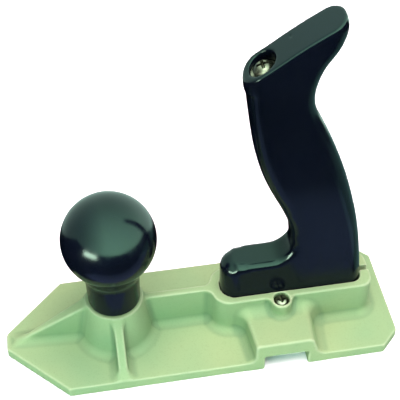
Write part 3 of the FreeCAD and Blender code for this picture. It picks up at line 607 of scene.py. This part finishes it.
def paint_nodes():
    """Give every CAD node the look of its slot."""
    looks = {
        "black_plastic": black_plastic(),
        "brass": metal("brass_look", (0.20, 0.13, 0.05), (0.42, 0.30, 0.13),
                       (0.22, 0.38), turned=True),
        "zinc_steel": metal("zinc_steel_look", (0.03, 0.026, 0.02), (0.16, 0.138, 0.10),
                            (0.20, 0.36), turned=True),
        "black_steel": metal("black_steel_look", (0.018, 0.018, 0.02), (0.05, 0.05, 0.052),
                             (0.32, 0.5), metallic=0.8),
        "insert_steel": metal("insert_steel_look", (0.34, 0.34, 0.34), (0.56, 0.56, 0.55),
                              (0.28, 0.42), turned=True),
        "carrier_metal": metal("carrier_metal_look", (0.52, 0.53, 0.54), (0.72, 0.73, 0.74),
                               (0.30, 0.45)),
        "carbide": metal("carbide_look", (0.28, 0.28, 0.29), (0.42, 0.42, 0.43), (0.16, 0.28)),
        "spring_steel": metal("spring_steel_look", (0.32, 0.32, 0.33), (0.50, 0.50, 0.50),
                              (0.25, 0.4), turned=True),
        "casting_paint": casting_paint(),
    }
    slots = {part["node"]: part["material_slot"] for part in frame["record"]["subparts"]}
    for node, piece in frame["nodes"].items():
        look = looks[slots[node]]
        if not piece.material_slots:
            piece.data.materials.append(look)
        for material_slot in piece.material_slots:
            material_slot.material = look
    return looks


# ---------------------------------------------------------------- room


def area_light(name, place, target, size, power, colour=(1, 1, 1), gloss_only=False):
    """Rectangular light that shades surfaces, or that only shows as a reflection in them."""
    lamp = bpy.data.lights.new(name, "AREA")
    lamp.shape = "RECTANGLE"
    lamp.size, lamp.size_y = size
    lamp.energy = power
    lamp.color = colour
    item = bpy.data.objects.new(name, lamp)
    item.location = place
    item.rotation_euler = (Vector(target) - Vector(place)).to_track_quat("-Z", "Y").to_euler()
    item.visible_diffuse = not gloss_only
    item.visible_glossy = gloss_only
    bpy.context.scene.collection.objects.link(item)


def room():
    """Pale floor, soft lights, and cards that only the polished plastic reflects."""
    corners = np.array([(-6, -6, 0), (6, -6, 0), (6, 6, 0), (-6, 6, 0)], float)
    floor = mesh_object("floor", corners, np.array([(0, 1, 2, 3)]))
    m = Nodes("floor_look")
    tone = m.ramp(m.noise(3.0, 2.0), [(0.3, (0.90, 0.90, 0.90)), (0.7, (0.93, 0.93, 0.93))])
    m.set(Base_Color=tone, Roughness=0.9)
    m.set(Specular_IOR_Level=0.0)
    floor.data.materials.append(m.material)
    floor.visible_glossy = False
    sky()
    area_light("key_box", (0.05, -0.14, 1.16), (0, 0, 0.03), size=(1.0, 0.9), power=44,
               colour=(1.0, 0.88, 0.94))
    area_light("fill_box", (-0.45, -0.95, 0.28), (0, 0, 0.05), size=(0.9, 0.45), power=11,
               colour=(0.50, 1.0, 0.88))
    area_light("low_window", (-1.08, -1.02, 0.15), (0, 0, 0.07), size=(0.75, 0.27), power=50,
               gloss_only=True)
    area_light("floor_card", (0.02, -0.067, 0.0005), (0.02, -0.067, 1), size=(0.26, 0.06),
               power=0.05, colour=(0.4, 0.5, 1.0), gloss_only=True)
    area_light("right_card", (0.23, 0.02, 0.0005), (0.23, 0.02, 1), size=(0.24, 0.26),
               power=0.10, colour=(0.45, 1.0, 0.9), gloss_only=True)
    # for a look from below, when the floor is hidden
    area_light("under_box", (0.3, -0.5, -0.9), (0, 0, 0), size=(1.2, 1.2), power=40)


def sky():
    """Room that only gloss sees: dark low in front, bright above and behind, dimmer on the left."""
    world = bpy.data.worlds.new("studio")
    world.use_nodes = True
    tree = world.node_tree
    back = tree.nodes["Background"]
    direction = tree.nodes.new("ShaderNodeTexCoord").outputs["Generated"]

    def spread(value, limits):
        """Value moved from one range to another and clamped."""
        node = tree.nodes.new("ShaderNodeMapRange")
        for key, number in zip(("From Min", "From Max", "To Min", "To Max"), limits):
            node.inputs[key].default_value = number
        tree.links.new(value, node.inputs["Value"])
        return node.outputs["Result"]

    def along(slope, limits):
        """Share that changes with a direction's extent along a slope."""
        node = tree.nodes.new("ShaderNodeVectorMath")
        node.operation = "DOT_PRODUCT"
        node.inputs[1].default_value = slope
        tree.links.new(direction, node.inputs[0])
        return spread(node.outputs["Value"], limits)

    def times(a, b):
        """Product of two values."""
        node = tree.nodes.new("ShaderNodeMath")
        node.operation = "MULTIPLY"
        tree.links.new(a, node.inputs[0])
        tree.links.new(b, node.inputs[1])
        return node.outputs[0]

    low = along((0.08, 0.0, 1.0), (0.115, 0.15, 1.0, 0.0))
    front = along((0.06, 1.0, 1.0), (0.11, 0.17, 1.0, 0.0))
    brightest, darkest = 8.6, 0.034
    lit = spread(times(low, front), (0.0, 1.0, brightest, darkest))
    lit = times(lit, along((0.0, 1.0, 0.0), (-1.0, 1.0, 1.9, 0.30)))
    lit = times(lit, along((1.0, 0.0, 0.0), (-0.9, -0.15, 0.3, 1.0)))
    lit = times(lit, along((0.0, 0.0, 1.0), (-0.7, 0.2, 0.2, 1.0)))
    tree.links.new(lit, back.inputs["Strength"])
    back.inputs["Color"].default_value = (0.68, 1.0, 0.87, 1)
    bpy.context.scene.world = world
    world.cycles_visibility.diffuse = False


def camera():
    """Camera in front of the near edge, looking down on the tool."""
    lens = bpy.data.cameras.new("main_camera")
    lens.lens = 90
    lens.sensor_width = 36
    lens.clip_start = 0.01
    item = bpy.data.objects.new("main_camera", lens)
    forward = Vector((0.114659, 0.678080, -0.725990))
    item.location = (-0.05212, -0.31208, 0.42848)
    item.rotation_euler = forward.to_track_quat("-Z", "Y").to_euler()
    bpy.context.scene.collection.objects.link(item)
    bpy.context.scene.camera = item


base = cast_base()
handle = grip()
ball = knob()
looks = paint_nodes()
base.data.materials.append(looks["casting_paint"])
handle.data.materials.append(looks["black_plastic"])
ball.data.materials.append(looks["black_plastic"])
room()
camera()
bpy.context.scene.view_settings.view_transform = "Standard"
